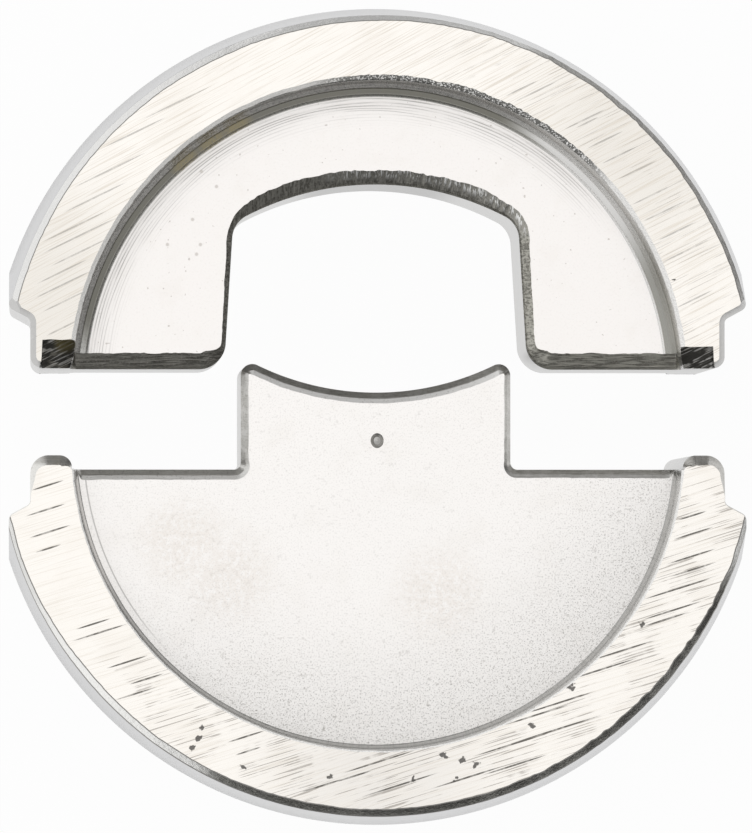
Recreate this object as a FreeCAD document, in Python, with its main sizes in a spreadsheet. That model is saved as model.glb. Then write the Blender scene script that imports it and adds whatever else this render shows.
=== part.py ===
# Crimping die: two half-moon steel halves that close on a connector held between them.
#
# The pair lies flat. +Z is the die's thickness, +X runs across it and +Y is the closing
# direction, from the lower half to the upper one. The origin is under the middle of the pair.
# Lengths are in millimetres.
#
# Both halves are the same front to back, so each body is built from its middle plane to its
# front face and mirrored. A body's own origin is on the axis of its round seat.

import FreeCAD, Part
import math
import os
import Sketcher

doc = FreeCAD.newDocument("CrimpingDie")

sizes = {
    # both halves
    "seatRadius": 20.0,           # round back of a half, which sits in the tool
    "flatDepth": 1.0,             # the flats at the sides cut this far into the round back
    "rimThickness": 15.0,
    "webThickness": 9.0,          # the plate inside the rim, sunk in from both faces
    "restGap": 4.5,               # between the two parting planes as the pair lies
    "leadInHeight": 3.0,          # turned cone at the edge of the seat
    "leadInDepth": 0.55,
    "edgeBreak": 0.35,
    "shoulderStep": 1.1,          # from a flat in to the step that the tool's stop catches
    "shoulderHeight": 2.5,
    "shoulderRise": 0.6,
    "shoulderRootRadius": 0.3,
    "shoulderTipRadius": 0.4,
    # upper half
    "upperPartingOffset": 1.3,    # the seat's axis lies this far past the parting plane
    "upperRimWidth": 4.28,        # from the seat's radius in to the recess's radius
    "upperRecessOffset": 0.88,    # the recess's axis lies this far past the parting plane
    "upperFloorRadius": 0.6,
    "upperLip": 0.2,
    "nestWidth": 14.8,            # at the roof
    "nestFlare": 0.465,           # how much further out each wall stands at the mouth
    "nestHeight": 9.6,
    "nestRoofRadius": 14.5,
    "nestRoofCorner": 1.4,
    "nestMouthCorner": 1.4,
    "nestChamfer": 0.72,
    "rimEndCorner": 0.6,
    "rimEndBevel": 1.35,
    "rimEndChamfer": 0.38,
    # lower half
    "lowerPartingOffset": 0.9,
    "lowerRimWidth": 4.3,
    "lowerRecessOffset": 0.53,
    "lowerFloorRadius": 0.25,
    "lowerLip": 0.13,
    "tongueClearance": 0.4,       # to each wall of the nest, at its roof
    "tongueHeight": 3.3,          # at the middle of its hollow top
    "tongueTopRadius": 14.0,
    "tongueCorner": 0.6,
    "tongueRoot": 0.35,
    "tongueChamfer": 0.5,
    "ledgeDrop": 0.7,             # from the parting plane to the ledges beside the tongue
    "hornWidth": 2.15,
    "hornFoot": 0.05,             # straight foot of a horn's inner side, under its round
    "hornOuterRadius": 0.95,
    "hornChamfer": 0.5,
    "punchRadius": 0.39,
    "punchDepth": 0.16,
    "punchHeight": 0.8,           # above the parting plane
}
chamferTaper = 45

sheet = doc.addObject("Spreadsheet::Sheet", "Sizes")
for row, (name, size) in enumerate(sizes.items(), start=1):
    sheet.set(f"A{row}", name)
    sheet.set(f"B{row}", str(size))
    sheet.setAlias(f"B{row}", name)
doc.recompute()


def valueOf(expression):
    return float(sheet.evalExpression(expression))


def vector(point):
    return FreeCAD.Vector(point[0], point[1], 0)


def addSketch(body, name, role, height="0"):
    plane = next(item for item in body.Origin.OriginFeatures if item.Role == role)
    sketch = body.newObject("Sketcher::SketchObject", name)
    sketch.AttachmentSupport = [(plane, "")]
    sketch.MapMode = "FlatFace"
    sketch.setExpression("AttachmentOffset.Base.z", height)
    return sketch


def bind(sketch, kind, *where, size):
    number = sketch.addConstraint(Sketcher.Constraint(kind, *where, valueOf(size)))
    sketch.setExpression(f"Constraints[{number}]", size)


def rotated(direction, angle):
    cosine, sine = math.cos(angle), math.sin(angle)
    return direction[0] * cosine - direction[1] * sine, direction[0] * sine + direction[1] * cosine


def along(point, direction, distance):
    return point[0] + direction[0] * distance, point[1] + direction[1] * distance


def addEdge(sketch, start, end, radius, side):
    # A line, or an arc whose centre is on the left of its travel (side 1) or the right (-1).
    # Gives the edge's number and which of its two ends are its start and its end.
    if not side:
        return sketch.addGeometry(Part.LineSegment(vector(start), vector(end))), 1, 2
    chord = math.dist(start, end)
    direction = (end[0] - start[0]) / chord, (end[1] - start[1]) / chord
    middle = along(start, direction, chord / 2)
    sagittaLeg = math.sqrt(radius ** 2 - (chord / 2) ** 2)
    centre = along(middle, rotated(direction, side * math.pi / 2), sagittaLeg)
    angles = [math.atan2(p[1] - centre[1], p[0] - centre[0]) for p in (start, end)][::side]
    circle = Part.Circle(vector(centre), FreeCAD.Vector(0, 0, 1), radius)
    edge = sketch.addGeometry(Part.ArcOfCircle(circle, *angles))
    return (edge, 1, 2) if side > 0 else (edge, 2, 1)


def drawOutline(sketch, corners, bowAt=None, bow=("0", 0)):
    # A closed outline through the corners, each given as x, y and the radius that rounds it.
    # The edge that leaves corner bowAt is an arc, and bow is its radius and side. A rounded
    # corner keeps a point where its two edges would meet.
    count = len(corners)
    bends = [bow if i == bowAt else ("0", 0) for i in range(count)]
    points = [(valueOf(x), valueOf(y)) for x, y, _ in corners]
    rounds = [valueOf(radius) if radius else 0 for _, _, radius in corners]
    heads = []
    for i, start in enumerate(points):
        end = points[(i + 1) % count]
        chord = math.dist(start, end)
        direction = (end[0] - start[0]) / chord, (end[1] - start[1]) / chord
        radius, side = bends[i]
        half = side * math.asin(chord / 2 / valueOf(radius)) if side else 0
        heads.append((rotated(direction, -half), rotated(direction, half)))

    turns = []
    for i in range(count):
        before, after = heads[i - 1][1], heads[i][0]
        turns.append(math.atan2(before[0] * after[1] - before[1] * after[0],
                                before[0] * after[0] + before[1] * after[1]))
    setbacks = [rounds[i] * math.tan(abs(turns[i]) / 2) for i in range(count)]

    edges = []
    for i, start in enumerate(points):
        following = (i + 1) % count
        radius, side = bends[i]
        edges.append(addEdge(sketch, along(start, heads[i][0], setbacks[i]),
                             along(points[following], heads[i][1], -setbacks[following]),
                             valueOf(radius), side))
        if side:
            bind(sketch, "Radius", edges[i][0], size=radius)

    for i, (x, y, radius) in enumerate(corners):
        before, beforeEnd = edges[i - 1][0], edges[i - 1][2]
        after, afterStart = edges[i][0], edges[i][1]
        if not radius:
            sketch.addConstraint(Sketcher.Constraint("Coincident", before, beforeEnd, after, afterStart))
            bind(sketch, "DistanceX", after, afterStart, size=x)
            bind(sketch, "DistanceY", after, afterStart, size=y)
            continue
        arc, arcStart, arcEnd = addEdge(sketch, along(points[i], heads[i - 1][1], -setbacks[i]),
                                        along(points[i], heads[i][0], setbacks[i]),
                                        rounds[i], 1 if turns[i] > 0 else -1)
        sketch.addConstraint(Sketcher.Constraint("Tangent", before, beforeEnd, arc, arcStart))
        sketch.addConstraint(Sketcher.Constraint("Tangent", arc, arcEnd, after, afterStart))
        bind(sketch, "Radius", arc, size=radius)
        meeting = sketch.addGeometry(Part.Point(vector(points[i])), True)
        sketch.addConstraint(Sketcher.Constraint("PointOnObject", meeting, 1, before))
        sketch.addConstraint(Sketcher.Constraint("PointOnObject", meeting, 1, after))
        bind(sketch, "DistanceX", meeting, 1, size=x)
        bind(sketch, "DistanceY", meeting, 1, size=y)


def onLeft(corners):
    # The same corners on the left side, in the opposite order.
    return [(f"-({x})", y, radius) for x, y, radius in reversed(corners)]


def drawCircle(sketch, x, y, radius):
    circle = Part.Circle(vector((valueOf(x), valueOf(y))), FreeCAD.Vector(0, 0, 1), valueOf(radius))
    edge = sketch.addGeometry(circle)
    bind(sketch, "DistanceX", edge, 3, size=x)
    bind(sketch, "DistanceY", edge, 3, size=y)
    bind(sketch, "Radius", edge, size=radius)


def cutAway(body, name, sketch, kind="PartDesign::Pocket", **settings):
    # A cut that must take material away. Settings in words of the sheet stay bound to it.
    volume = body.Shape.Volume
    cut = body.newObject(kind, name)
    cut.Profile = sketch
    for setting, wanted in settings.items():
        if isinstance(wanted, str) and "Sizes." in wanted:
            cut.setExpression(setting, wanted)
        else:
            setattr(cut, setting, wanted)
    doc.recompute()
    if not body.Shape.Volume < volume:
        raise RuntimeError(f"{name} cuts nothing")
    return cut


def circularEdge(shape, radius, height):
    # The name of the edge with this radius at this height over the middle plane.
    for number, edge in enumerate(shape.Edges, start=1):
        curve = edge.Curve
        if isinstance(curve, Part.Circle) and math.isclose(curve.Radius, radius, abs_tol=1e-4) \
                and math.isclose(curve.Center.z, height, abs_tol=1e-4):
            return f"Edge{number}"
    raise RuntimeError(f"no round edge of radius {radius}")


faceHeight = "Sizes.rimThickness / 2"
webHeight = "Sizes.webThickness / 2"
clearOf = "2 * Sizes.seatRadius"
flatX = "(Sizes.seatRadius - Sizes.flatDepth)"
shoulderX = f"({flatX} - Sizes.shoulderStep)"
pastSlopeX = f"{flatX} + Sizes.shoulderStep"
pairShift = "(Sizes.restGap - Sizes.upperPartingOffset - Sizes.lowerPartingOffset) / 2"


def shoulderLevels(parting):
    # How far from the seat's axis a shoulder's slope starts, where it meets the flat, and a
    # point on the same slope past the flat.
    start = f"{parting} + Sizes.shoulderHeight"
    return start, f"{start} + Sizes.shoulderRise", f"{start} + 2 * Sizes.shoulderRise"


def turnBlank(name, side):
    # The disc before milling: a cylinder with a lead-in cone and a broken edge. Its recess is
    # bored round an axis of its own, with a round at the floor and a fine lip at the face.
    body = doc.addObject("PartDesign::Body", name)
    body.Label = name
    half = "upper" if side > 0 else "lower"
    profile = addSketch(body, "TurnedProfile", "XZ_Plane")
    coneTop = f"{faceHeight} - Sizes.edgeBreak"
    faceEdge = "Sizes.seatRadius - Sizes.leadInDepth"
    drawOutline(profile, [
        ("0", "0", None),
        ("Sizes.seatRadius", "0", None),
        ("Sizes.seatRadius", f"{coneTop} - Sizes.leadInHeight", None),
        (faceEdge, coneTop, None),
        (f"{faceEdge} - Sizes.edgeBreak", faceHeight, None),
        ("0", faceHeight, None)])
    disc = body.newObject("PartDesign::Revolution", "Disc")
    disc.Profile = profile
    disc.ReferenceAxis = (profile, ["V_Axis"])
    disc.Angle = 360
    doc.recompute()

    recessRadius = f"Sizes.seatRadius - Sizes.{half}RimWidth"
    bore = addSketch(body, "RecessBore", "XY_Plane", faceHeight)
    drawCircle(bore, "0", f"{side} * (Sizes.{half}PartingOffset - Sizes.{half}RecessOffset)", recessRadius)
    recess = cutAway(body, "Recess", bore, Length=f"{faceHeight} - {webHeight}")

    floor = body.newObject("PartDesign::Fillet", "FloorRound")
    floor.Base = (recess, [circularEdge(recess.Shape, valueOf(recessRadius), valueOf(webHeight))])
    floor.setExpression("Radius", f"Sizes.{half}FloorRadius")
    doc.recompute()

    lip = body.newObject("PartDesign::Chamfer", "Lip")
    lip.Base = (floor, [circularEdge(floor.Shape, valueOf(recessRadius), valueOf(faceHeight))])
    lip.setExpression("Size", f"Sizes.{half}Lip")
    doc.recompute()
    return body


def mirrorToBack(body):
    mirrored = body.newObject("PartDesign::Mirrored", "BothFaces")
    plane = next(item for item in body.Origin.OriginFeatures if item.Role == "XY_Plane")
    mirrored.TransformMode = "Whole shape"
    mirrored.MirrorPlane = (plane, [""])
    mirrored.Refine = True
    body.Tip = mirrored
    doc.recompute()


# The upper half: the nest's roof is an arc, its walls open towards the mouth.

upper = turnBlank("upper_die_half", 1)
parting = "Sizes.upperPartingOffset"
shoulderY, shoulderTopY, pastSlopeY = shoulderLevels(parting)
roofX = "Sizes.nestWidth / 2"
mouthX = "Sizes.nestWidth / 2 + Sizes.nestFlare"
roofCornerY = (f"{parting} + Sizes.nestHeight - Sizes.nestRoofRadius"
               " + sqrt(Sizes.nestRoofRadius ^ 2 - (Sizes.nestWidth / 2) ^ 2)")
nestCorners = [(mouthX, parting, "Sizes.nestMouthCorner"), (roofX, roofCornerY, "Sizes.nestRoofCorner")]
roofBow = "Sizes.nestRoofRadius", 1

rightCorners = [
    (clearOf, f"-{clearOf}", None),
    (clearOf, clearOf, None),
    (flatX, clearOf, None),
    (flatX, shoulderTopY, "Sizes.shoulderTipRadius"),
    (shoulderX, shoulderY, "Sizes.shoulderRootRadius"),
    (shoulderX, parting, "Sizes.rimEndCorner"),
    *nestCorners]
outline = addSketch(upper, "UpperOutline", "XY_Plane", faceHeight)
drawOutline(outline, rightCorners + onLeft(rightCorners), len(rightCorners) - 1, roofBow)
cutAway(upper, "UpperMilling", outline, Type="ThroughAll")

# The nest's edge and the legs' lower edges are chamfered at 45 degrees up to the recess's round.
chamferEndX = ("sqrt((Sizes.seatRadius - Sizes.upperRimWidth - Sizes.upperFloorRadius) ^ 2"
               " - (Sizes.upperRecessOffset + Sizes.nestChamfer) ^ 2) - Sizes.nestChamfer")
rightCorners = [
    (chamferEndX, "0", None),
    (chamferEndX, parting, None),
    *nestCorners]
edge = addSketch(upper, "NestEdge", "XY_Plane", f"{webHeight} - Sizes.nestChamfer")
drawOutline(edge, rightCorners + onLeft(rightCorners), len(rightCorners) - 1, roofBow)
cutAway(upper, "NestChamfer", edge, Length="Sizes.nestChamfer", Reversed=True, TaperAngle=chamferTaper)

# The shoulders' edge, from a region that goes on past the slope.
shoulderCorners = [
    (pastSlopeX, "0", None),
    (pastSlopeX, pastSlopeY, None),
    (shoulderX, shoulderY, "Sizes.shoulderRootRadius"),
    (shoulderX, "0", None)]
edge = addSketch(upper, "ShoulderEdge", "XY_Plane", f"{faceHeight} - Sizes.rimEndChamfer")
drawOutline(edge, shoulderCorners)
drawOutline(edge, onLeft(shoulderCorners))
cutAway(upper, "ShoulderChamfer", edge, Length="Sizes.rimEndChamfer", Reversed=True, TaperAngle=chamferTaper)

# Each end of the rim is bevelled down to the parting plane.
bevel = addSketch(upper, "RimEnd", "YZ_Plane")
drawOutline(bevel, [
    ("0", f"{faceHeight} - Sizes.rimEndBevel - {parting}", None),
    (f"2 * {parting} + Sizes.rimEndBevel", f"{faceHeight} + {parting}", None),
    ("0", f"{faceHeight} + {parting}", None)])
cutAway(upper, "RimEndBevel", bevel, Type="ThroughAll", SideType="Symmetric")

mirrorToBack(upper)
upper.setExpression("Placement.Base.y", pairShift)
upper.setExpression("Placement.Base.z", faceHeight)

# The lower half: a tongue with a hollow top between two ledges, and a horn at each end of the rim.

lower = turnBlank("lower_die_half", -1)
parting = "Sizes.lowerPartingOffset"
shoulderY, shoulderTopY, pastSlopeY = shoulderLevels(parting)
tongueX = "Sizes.nestWidth / 2 - Sizes.tongueClearance"
ledgeY = f"-{parting} - Sizes.ledgeDrop"
hornX = f"{shoulderX} - Sizes.hornWidth"
tongueCornerY = (f"-{parting} + Sizes.tongueHeight + Sizes.tongueTopRadius"
                 f" - sqrt(Sizes.tongueTopRadius ^ 2 - ({tongueX}) ^ 2)")
hornCorners = [
    (shoulderX, f"-({shoulderY})", "Sizes.shoulderRootRadius"),
    (shoulderX, f"-{parting}", "Sizes.hornOuterRadius"),
    (hornX, f"-{parting}", "Sizes.ledgeDrop - Sizes.hornFoot"),
    (hornX, ledgeY, None)]
tongueCorners = [
    (tongueX, ledgeY, "Sizes.tongueRoot"),
    (tongueX, tongueCornerY, "Sizes.tongueCorner")]
tongueBow = "Sizes.tongueTopRadius", -1
ledgeEndX = ("sqrt((Sizes.seatRadius - Sizes.lowerRimWidth - Sizes.lowerFloorRadius) ^ 2"
             " - (Sizes.lowerRecessOffset + Sizes.ledgeDrop + Sizes.tongueChamfer) ^ 2) - Sizes.tongueChamfer")

rightCorners = [
    (clearOf, clearOf, None),
    (clearOf, f"-{clearOf}", None),
    (flatX, f"-{clearOf}", None),
    (flatX, f"-({shoulderTopY})", "Sizes.shoulderTipRadius"),
    *hornCorners,
    *tongueCorners]
outline = addSketch(lower, "LowerOutline", "XY_Plane", faceHeight)
drawOutline(outline, rightCorners + onLeft(rightCorners), len(rightCorners) - 1, tongueBow)
cutAway(lower, "LowerMilling", outline, Type="ThroughAll")

# The tongue's edge and the ledges' edges are chamfered up to the recess's round.
rightCorners = [
    (ledgeEndX, clearOf, None),
    (ledgeEndX, ledgeY, None),
    *tongueCorners]
edge = addSketch(lower, "TongueEdge", "XY_Plane", f"{webHeight} - Sizes.tongueChamfer")
drawOutline(edge, rightCorners + onLeft(rightCorners), len(rightCorners) - 1, tongueBow)
cutAway(lower, "TongueChamfer", edge, Length="Sizes.tongueChamfer", Reversed=True, TaperAngle=chamferTaper)

# The edge round each horn and down its shoulder.
rightCorners = [
    (pastSlopeX, clearOf, None),
    (pastSlopeX, f"-({pastSlopeY})", None),
    *hornCorners]
edge = addSketch(lower, "HornEdge", "XY_Plane", f"{faceHeight} - Sizes.hornChamfer")
drawOutline(edge, rightCorners + onLeft(rightCorners))
cutAway(lower, "HornChamfer", edge, Length="Sizes.hornChamfer", Reversed=True, TaperAngle=chamferTaper)

mirrorToBack(lower)

# A centre punch's mark on the front of the tongue.
dent = addSketch(lower, "PunchDent", "XZ_Plane", f"{parting} - Sizes.punchHeight")
drawOutline(dent, [
    ("0", webHeight, None),
    ("0", f"{webHeight} - Sizes.punchDepth", None),
    ("Sizes.punchRadius", webHeight, None)])
cutAway(lower, "PunchMark", dent, "PartDesign::Groove", ReferenceAxis=(dent, ["V_Axis"]), Angle=360)

lower.setExpression("Placement.Base.y", f"-{pairShift}")
lower.setExpression("Placement.Base.z", faceHeight)

doc.recompute()
os.makedirs("parts", exist_ok=True)
for item in doc.Objects:
    if {"Invalid", "Error"} & set(item.State):
        raise RuntimeError(f"{item.Label} failed: {item.State}")
for body in (upper, lower):
    if body.Shape.isNull() or not body.Shape.isValid() or len(body.Shape.Solids) != 1:
        raise RuntimeError(f"{body.Label} is not one sound solid")
    body.Shape.exportStep(f"parts/{body.Label}.step")
    print(body.Label, f"{body.Shape.Volume:.1f} mm3", body.Shape.BoundBox)
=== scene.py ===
import bpy
import math

import numpy as np
from mathutils import Matrix, Vector


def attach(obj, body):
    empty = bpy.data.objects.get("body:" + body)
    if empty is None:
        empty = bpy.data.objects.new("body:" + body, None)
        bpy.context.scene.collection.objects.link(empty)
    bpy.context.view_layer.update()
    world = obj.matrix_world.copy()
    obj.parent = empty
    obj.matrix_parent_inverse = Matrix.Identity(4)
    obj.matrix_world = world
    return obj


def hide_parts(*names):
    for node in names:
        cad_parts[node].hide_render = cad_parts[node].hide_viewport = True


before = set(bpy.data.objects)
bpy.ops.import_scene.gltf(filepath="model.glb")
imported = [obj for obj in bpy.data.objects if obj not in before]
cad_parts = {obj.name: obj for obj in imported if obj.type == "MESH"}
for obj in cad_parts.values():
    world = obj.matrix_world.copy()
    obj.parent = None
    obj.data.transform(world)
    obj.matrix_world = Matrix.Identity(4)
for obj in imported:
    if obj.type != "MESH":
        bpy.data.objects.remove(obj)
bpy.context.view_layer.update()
mm = 0.001
scene = bpy.context.scene
print("frame loaded")

# Lengths are in millimetres until a mesh is made. A half is worked out with its seat's axis at
# the origin and its thickness from 0 to rimTop, then lifted or lowered to its place.

die = {
    "seatRadius": 20.0, "flatX": 19.0, "rimTop": 15.0, "webTop": 12.0, "restGap": 4.5,
    "upperParting": 1.3, "lowerParting": 0.9,
    "leadHeight": 3.0, "leadDepth": 0.55, "breakWidth": 0.35, "breakHeight": 0.26,
    "shoulderX": 17.9, "shoulderHeight": 2.5, "shoulderRise": 0.6,
    "rootRadius": 0.3, "tipRadius": 0.4,
    "turnedSteps": 1300, "millStep": 0.05,
    "coreTop": 9.0,         # a milled wall is plain from its middle to here
    "wallTop": 12.3,        # and again from here up, over the chamfer at the web
    "cutReach": 21.6,       # how far out the milling cutters go
    "underWeb": 0.004,      # keeps a chamfer's rings from lying in the web's plane
}
upperY = (die["restGap"] - die["upperParting"] - die["lowerParting"]) / 2
lowerY = -upperY


# Camera: nearly straight above, a little to the left and towards the lower half.

camera = {"from": (-18.0, -8.5, 472.0), "at": (0.0, 0.0, 12.0), "sensor": 36.0, "longSide": 43.16}


def makeCamera(c):
    # The lens shows longSide millimetres along the picture's long side at the target's distance.
    eye, aim = Vector(c["from"]), Vector(c["at"])
    forward = (aim - eye).normalized()
    right = forward.cross(Vector((0, 1, 0))).normalized()
    up = right.cross(forward)
    data = bpy.data.cameras.new("camera")
    data.sensor_width = c["sensor"]
    data.lens = c["sensor"] * (aim - eye).length / c["longSide"]
    data.clip_start, data.clip_end = 0.01, 50
    made = bpy.data.objects.new("camera", data)
    turn = Matrix((right, up, -forward)).transposed().to_4x4()
    made.matrix_world = Matrix.Translation(eye * mm) @ turn
    scene.collection.objects.link(made)
    scene.camera = made


makeCamera(camera)
scene.view_settings.view_transform = "Standard"
print("camera placed")


# Node trees

class Field:
    # A socket that sums can be written with. Each sum adds its Math node.
    def __init__(self, nodes, socket):
        self.nodes, self.socket = nodes, socket

    def maths(self, operation, *values):
        return self.nodes.add("ShaderNodeMath", {"operation": operation}, dict(enumerate(values)))

    def __add__(self, other): return self.maths("ADD", self, other)
    def __radd__(self, other): return self.maths("ADD", other, self)
    def __sub__(self, other): return self.maths("SUBTRACT", self, other)
    def __rsub__(self, other): return self.maths("SUBTRACT", other, self)
    def __mul__(self, other): return self.maths("MULTIPLY", self, other)
    def __rmul__(self, other): return self.maths("MULTIPLY", other, self)
    def __truediv__(self, other): return self.maths("DIVIDE", self, other)
    def __pow__(self, other): return self.maths("POWER", self, other)
    def __abs__(self): return self.maths("ABSOLUTE", self)
    def least(self, other): return self.maths("MINIMUM", self, other)
    def most(self, other): return self.maths("MAXIMUM", self, other)
    def sine(self): return self.maths("SINE", self)

    def between(self, low, high):
        # 0 at low and 1 at high, eased between them.
        return self.nodes.add("ShaderNodeMapRange", {"interpolation_type": "SMOOTHSTEP"},
                              {"Value": self, "From Min": low, "From Max": high})

    def within(self, low, high, ease):
        # 1 from low to high, easing to 0 over a distance outside them.
        return self.between(low - ease, low) * (1 - self.between(high, high + ease))


class Nodes:
    def __init__(self, tree):
        self.tree = tree

    def add(self, kind, settings, values, out=0):
        made = self.tree.nodes.new(kind)
        for setting, value in settings.items():
            setattr(made, setting, value)
        for key, value in values.items():
            if isinstance(value, Field):
                self.tree.links.new(value.socket, made.inputs[key])
            else:
                made.inputs[key].default_value = value
        return Field(self, made.outputs[out])

    def find(self, kind):
        return next(n for n in self.tree.nodes if n.type == kind)

    def vectors(self, operation, values, out=0):
        return self.add("ShaderNodeVectorMath", {"operation": operation}, values, out)

    def parts(self, vector):
        split = self.add("ShaderNodeSeparateXYZ", {}, {0: vector}).socket.node
        return [Field(self, socket) for socket in split.outputs]

    def vector(self, x, y, z=0.0):
        return self.add("ShaderNodeCombineXYZ", {}, {0: x, 1: y, 2: z})

    def mix(self, factor, first, second):
        return self.add("ShaderNodeMix", {"data_type": "RGBA", "clamp_factor": True},
                        {0: factor, 6: first, 7: second}, 2)


# Light: a soft box over the pair, in a room that is bright above and has dark and pale sides.

light = {
    "overhead": 0.70, "left": 0.92, "right": 0.13, "near": 0.08, "far": 0.42,
    "dimBelow": 0.36, "brightAbove": 0.80,              # overhead takes over between these heights
    "boxSize": 0.9, "boxHeight": 1.1, "boxGlow": 0.40, "boxAt": (-0.12, 0.16),
}


def lightScene(l):
    # The room's glow depends on which way one looks: each side has its own, and all of them
    # ease into the one overhead.
    world = bpy.data.worlds.new("room")
    world.use_nodes = True
    nodes = Nodes(world.node_tree)
    x, y, z = nodes.parts(nodes.add("ShaderNodeTexCoord", {}, {}))
    level = ((x * x + y * y) ** 0.5).most(0.001)
    toRight, toFar = x / level, y / level
    side = l["left"] + (l["right"] - l["left"]) * toRight.between(-0.62, 0.05)
    side = side + (l["near"] - side) * (0 - toFar).between(0.80, 0.97)
    side = side.most(l["far"] * toFar.between(0.45, 0.95))
    glow = side + (l["overhead"] - side) * z.between(l["dimBelow"], l["brightAbove"])
    nodes.tree.links.new(glow.socket, nodes.find("BACKGROUND").inputs["Color"])
    scene.world = world

    lamp = bpy.data.lights.new("softBox", "AREA")
    lamp.shape, lamp.size = "SQUARE", l["boxSize"]
    lamp.energy = l["boxGlow"] * math.pi * l["boxSize"] ** 2     # so that the box glows with boxGlow
    made = bpy.data.objects.new("softBox", lamp)
    made.location = (*l["boxAt"], l["boxHeight"])
    made.rotation_euler = (-Vector(made.location)).to_track_quat("-Z", "Y").to_euler()
    scene.collection.objects.link(made)


def layFloor(shadow):
    # A pale sheet. The camera and the metal see it lit evenly, with a share of its real shading.
    mesh = bpy.data.meshes.new("floorSheet")
    reach, height = 6.0, -5e-5
    corners = [(-reach, -reach), (reach, -reach), (reach, reach), (-reach, reach)]
    mesh.from_pydata([(x, y, height) for x, y in corners], [], [(0, 1, 2, 3)])
    material = bpy.data.materials.new("paleSheet")
    material.use_nodes = True
    nodes = Nodes(material.node_tree)
    shader = nodes.find("BSDF_PRINCIPLED")
    shader.inputs["Base Color"].default_value = (0.95, 0.95, 0.95, 1)
    shader.inputs["Roughness"].default_value = 0.8
    path = nodes.add("ShaderNodeLightPath", {}, {}).socket.node.outputs
    seen = [Field(nodes, path[name]) for name in ("Is Camera Ray", "Is Glossy Ray", "Is Transmission Ray")]
    glow = nodes.add("ShaderNodeEmission", {}, {"Color": (1, 1, 1, 1), "Strength": 1.0})
    share = seen[0].most(seen[1]).most(seen[2]) * (1 - shadow)
    both = nodes.add("ShaderNodeMixShader", {}, {0: share, 2: glow})
    nodes.tree.links.new(shader.outputs[0], both.socket.node.inputs[1])
    nodes.tree.links.new(both.socket, nodes.find("OUTPUT_MATERIAL").inputs["Surface"])
    mesh.materials.append(material)
    made = bpy.data.objects.new("floorSheet", mesh)
    scene.collection.objects.link(made)


lightScene(light)
layFloor(shadow=0.04)
print("light and floor made")


# Metal finishes

class Finish(Nodes):
    # A metal finish on one Principled shader. x, y and z are the place on the piece in millimetres.
    def __init__(self, name, colour, roughness):
        self.material = bpy.data.materials.new(name)
        self.material.use_nodes = True
        super().__init__(self.material.node_tree)
        self.shader = self.find("BSDF_PRINCIPLED")
        self.colour = (*colour, 1)
        self.shader.inputs["Base Color"].default_value = self.colour
        self.shader.inputs["Metallic"].default_value = 1
        self.shader.inputs["Roughness"].default_value = roughness
        where = self.add("ShaderNodeTexCoord", {}, {}, 3)
        self.place = self.vectors("SCALE", {0: where, "Scale": 1 / mm})
        self.x, self.y, self.z = self.parts(self.place)

    def noise(self, place, scale, detail=2.0, roughness=0.5):
        return self.add("ShaderNodeTexNoise", {}, {"Vector": place, "Scale": scale, "Detail": detail,
                                                   "Roughness": roughness})

    def lines(self, angle, length, width, seed=0.0, detail=1.0):
        # Noise drawn out along a direction: length is how long its streaks are, width how fine.
        c, s = math.cos(math.radians(angle)), math.sin(math.radians(angle))
        along = self.x * c + self.y * s
        across = self.y * c - self.x * s
        return self.noise(self.vector(along / length, across / width, self.z / 3.0 + seed), 1.0, detail)

    def polar(self, centreY):
        # Distance from an upright axis at (0, centreY), and the bearing about it in degrees from +X.
        dy = self.y - centreY
        return (self.x * self.x + dy * dy) ** 0.5, dy.maths("ARCTAN2", dy, self.x) * (180 / math.pi)

    def spots(self, places, radius, core=0.35, ragged=0.0):
        # 1 in the middle of each round spot, falling to 0 at its radius. ragged shifts the outline
        # about by noise, up to half that many millimetres.
        flat = self.vector(self.x, self.y)
        if ragged:
            shift = self.add("ShaderNodeTexNoise", {}, {"Vector": self.place, "Scale": 2.6, "Detail": 2.0}, 1)
            middle = self.vectors("SUBTRACT", {0: shift, 1: (0.5, 0.5, 0.5)})
            flat = self.vectors("MULTIPLY_ADD", {0: middle, 1: (ragged, ragged, 0), 2: flat})
        nearest = None
        for x, y in places:
            away = self.vectors("DISTANCE", {0: flat, 1: (x, y, 0)}, 1)
            nearest = away if nearest is None else nearest.least(away)
        return 1 - nearest.between(radius * core, radius)

    def strokes(self, angle, marks, width):
        # 1 along straight scratches, each given by its middle and length, fading at sides and ends.
        # Scaled by its length and width, a scratch is the disc of radius 1 about its middle.
        c, s = math.cos(math.radians(angle)), math.sin(math.radians(angle))
        turned = self.vector(self.x * c + self.y * s, self.y * c - self.x * s)
        nearest = None
        for x, y, length in marks:
            longways, sideways = 2 / length, 1 / width
            middle = (-(x * c + y * s) * longways, -(y * c - x * s) * sideways, 0)
            scaled = self.vectors("MULTIPLY_ADD", {0: turned, 1: (longways, sideways, 0), 2: middle})
            away = self.vectors("LENGTH", {0: scaled}, 1)
            nearest = away if nearest is None else nearest.least(away)
        return 1 - nearest.between(0.62, 1.0)

    def tint(self, *stains):
        # The base colour, stained by each (mask, colour) in turn.
        colour = self.colour
        for mask, stain in stains:
            colour = self.mix(mask, colour, (*stain, 1))
        self.tree.links.new(colour.socket, self.shader.inputs["Base Color"])

    def relief(self, height, depth):
        # height is about 0 to 1, and depth is what 1 stands for in millimetres.
        bump = self.add("ShaderNodeBump", {}, {"Height": height, "Distance": depth * mm, "Strength": 1.0})
        self.tree.links.new(bump.socket, self.shader.inputs["Normal"])


# The rims' scratches: the angle of the grinding, then the middle and length of the deep ones.

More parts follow.
